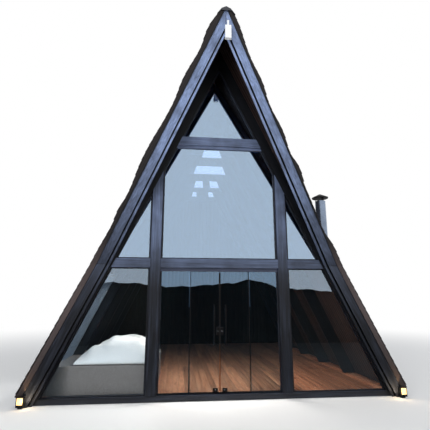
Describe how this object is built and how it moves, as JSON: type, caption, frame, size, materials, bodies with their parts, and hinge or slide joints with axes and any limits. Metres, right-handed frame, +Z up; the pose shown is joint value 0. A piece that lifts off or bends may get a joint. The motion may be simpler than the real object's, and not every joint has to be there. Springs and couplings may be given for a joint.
{
  "type": "a-frame cabin",
  "caption": "Black-stained timber A-frame cabin with a leaning prow roof, a fully glazed front gable, sliding glass doors and a flue.",
  "frame": {"origin": "centre of the footprint at the level the cabin stands on", "axes": "+Z up, +Y from the glazed front gable to the back wall, +X to the right as seen from the front"},
  "size_m": [6.667, 8.66, 6.965],
  "materials": {
    "black_timber": "black stained sawn timber, satin",
    "soffit_boards": "black stained boards",
    "wall_boards": "dark stained vertical boards",
    "floor_boards": "red-brown oiled planks",
    "roof_shingle": "brown-black mineral shingles, matt",
    "ridge_sheet": "dark folded sheet",
    "window_glass": "clear float glass",
    "tempered_glass": "clear tempered glass",
    "track_metal": "black anodised section",
    "pull_metal": "black satin",
    "lock_metal": "black satin with a bright cylinder",
    "flue_metal": "black heat-proof paint",
    "lamp_white": "white",
    "lamp_black": "black with a warm lens",
    "bed_panel": "grey stained panel",
    "bed_cloth": "white woven cotton"
  },
  "bodies": {
    "house": {"apex_lamp": "lamp_white", "back_wall": "wall_boards", "barge_board_back_left": "black_timber", "barge_board_back_right": "black_timber", "barge_board_front_left": "black_timber", "barge_board_front_right": "black_timber", "bed_base": "bed_panel", "bedding": "bed_cloth", "door_leaf_fixed_left": "tempered_glass", "door_leaf_fixed_right": "tempered_glass", "door_track_bottom": "track_metal", "door_track_top": "track_metal", "floor": "floor_boards", "flue_cap": "flue_metal", "flue_flashing": "flue_metal", "flue_pipe": "flue_metal", "foot_lamp_left": "lamp_black", "foot_lamp_right": "lamp_black", "front_collar_beam": "black_timber", "front_glass_lower_left": "window_glass", "front_glass_lower_right": "window_glass", "front_glass_top": "window_glass", "front_glass_upper": "window_glass", "front_mid_rail": "black_timber", "front_post_left": "black_timber", "front_post_right": "black_timber", "front_sill": "black_timber", "gable_rafter_front_left": "black_timber", "gable_rafter_front_right": "black_timber", "inner_collar_ties": "black_timber", "inner_rafters_left": "black_timber", "inner_rafters_right": "black_timber", "ridge_cap": "ridge_sheet", "roof_covering_left": "roof_shingle", "roof_covering_right": "roof_shingle", "roof_deck_left": "soffit_boards", "roof_deck_right": "soffit_boards", "side_window_frame": "black_timber", "side_window_glass": "window_glass", "verge_strip_left": "black_timber", "verge_strip_right": "black_timber"},
    "door_left": {"door_leaf_sliding_left": "tempered_glass", "door_pull_left": "pull_metal", "door_lock_left": "lock_metal"},
    "door_right": {"door_leaf_sliding_right": "tempered_glass", "door_pull_right": "pull_metal", "door_lock_right": "lock_metal"}
  },
  "joints": [
    {"name": "door_left_slide", "type": "slide", "parent": "house", "child": "door_left", "axis": [-1, 0, 0], "range_m": [0, 0.39]},
    {"name": "door_right_slide", "type": "slide", "parent": "house", "child": "door_right", "axis": [1, 0, 0], "range_m": [0, 0.39]}
  ]
}
